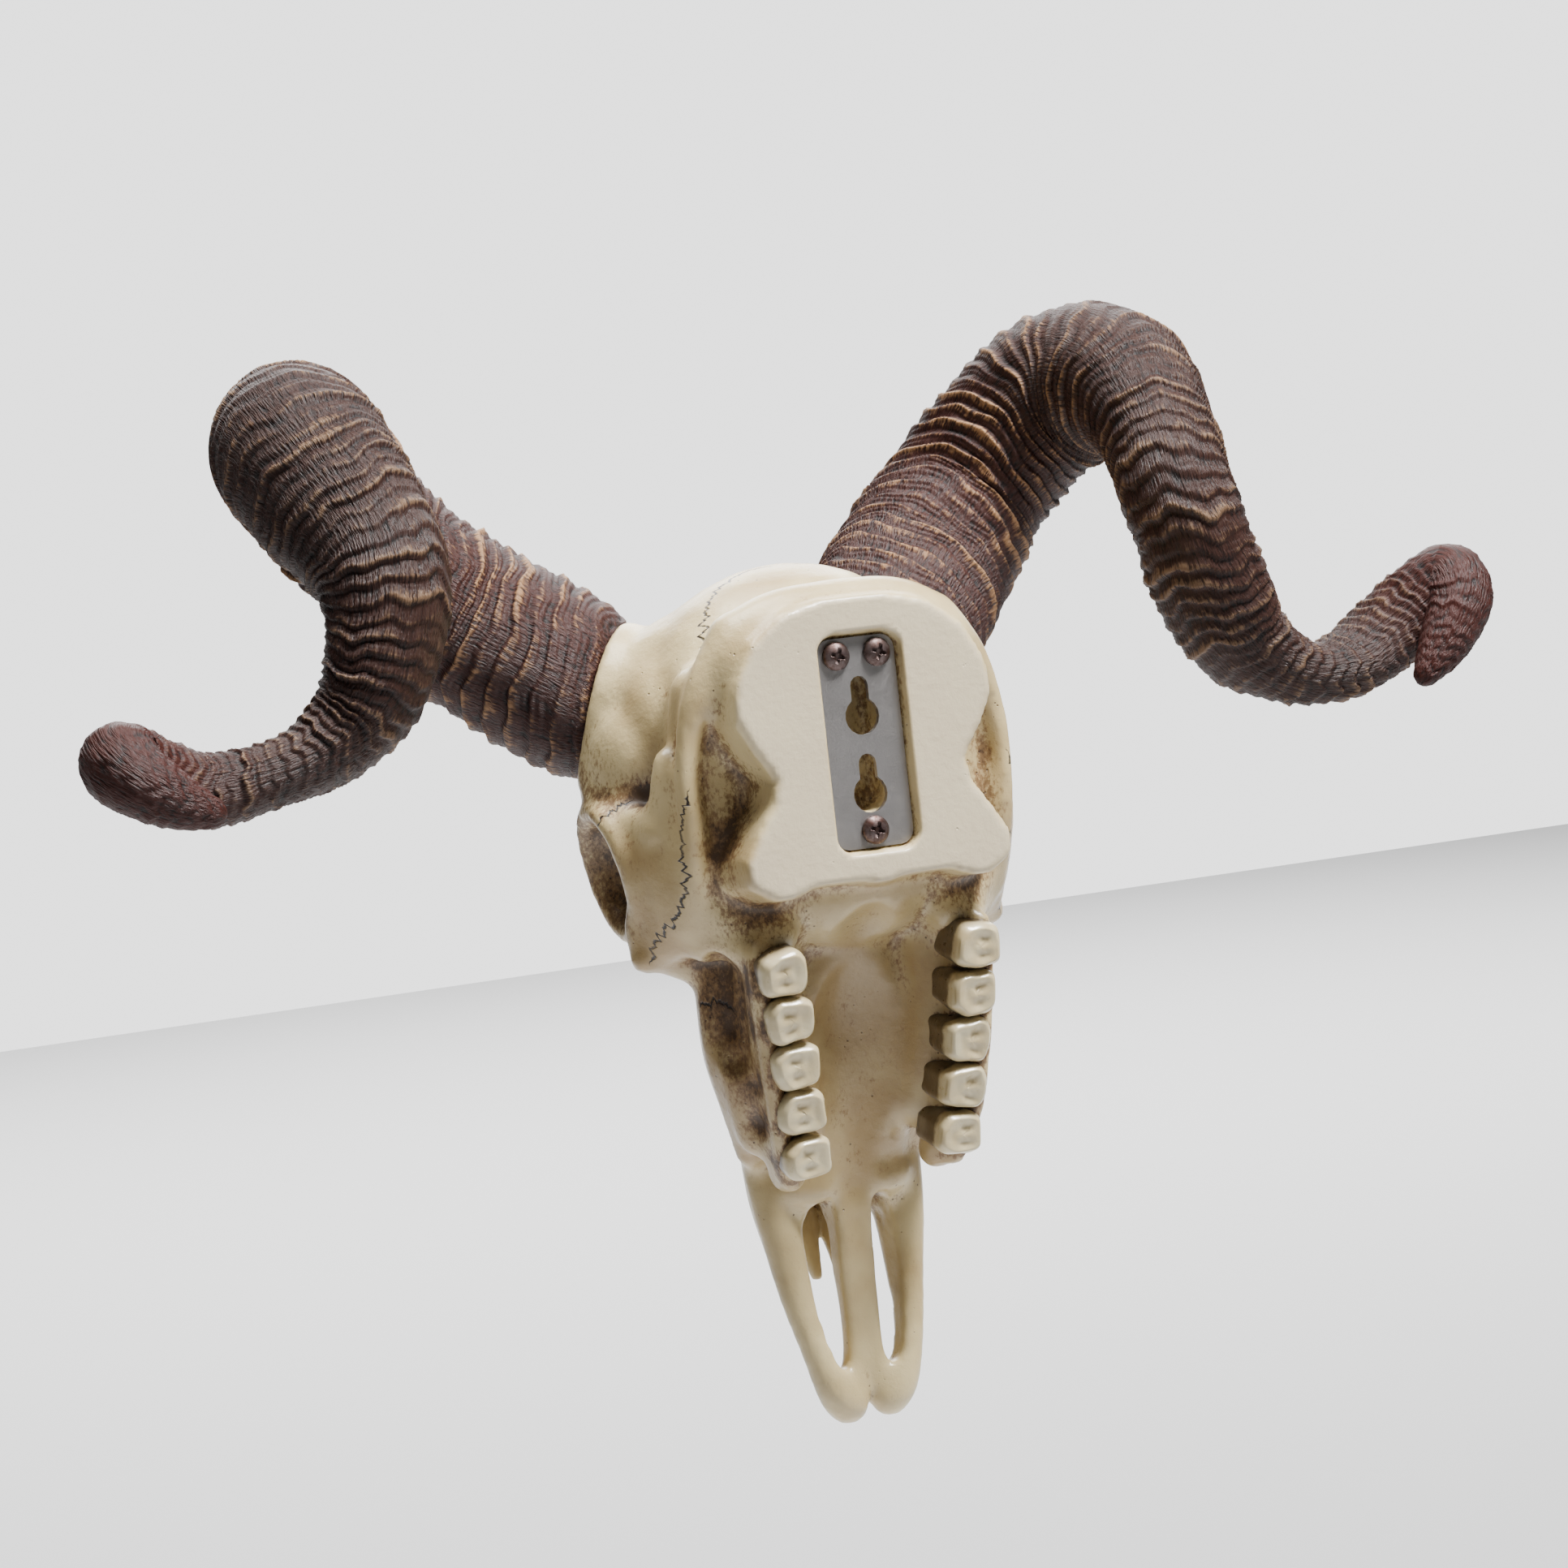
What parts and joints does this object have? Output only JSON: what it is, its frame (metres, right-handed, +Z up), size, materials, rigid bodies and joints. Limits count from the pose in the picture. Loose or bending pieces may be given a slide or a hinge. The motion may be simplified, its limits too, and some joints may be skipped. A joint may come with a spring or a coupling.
{
  "type": "cast resin ram skull wall trophy",
  "caption": "Wall trophy in cast resin shaped as a ram's skull with curled horns, with a flat back, a recessed keyhole hanger plate and pan head screws.",
  "frame": {"origin": "on the flat back, at the middle of the strip of it below the hanger's recess", "axes": "+X to the animal's left, +Y out of the flat back into the wall, +Z up"},
  "size_m": [0.4352, 0.1333, 0.3179],
  "materials": {
    "bone_resin": "satin ivory with a brown wash in the hollows",
    "jaw_resin": "satin ivory with a brown wash round the teeth",
    "horn_resin": "dark brown with tan dry brushing on the rings",
    "horn_tip_resin": "dark reddish brown",
    "satin_aluminium": "satin",
    "tarnished_steel": "tarnished"
  },
  "bodies": {
    "root": {"braincase": "bone_resin", "nose_bones": "bone_resin", "eye_socket_left": "bone_resin", "eye_socket_right": "bone_resin", "upper_jaw": "jaw_resin", "muzzle": "jaw_resin", "horn_left_base": "horn_resin", "horn_left_curl": "horn_resin", "horn_left_tip": "horn_tip_resin", "horn_right_base": "horn_resin", "horn_right_curl": "horn_resin", "horn_right_tip": "horn_tip_resin", "hanger_plate": "satin_aluminium", "screw_top_left": "tarnished_steel", "screw_top_right": "tarnished_steel", "screw_bottom": "tarnished_steel"}
  },
  "joints": []
}
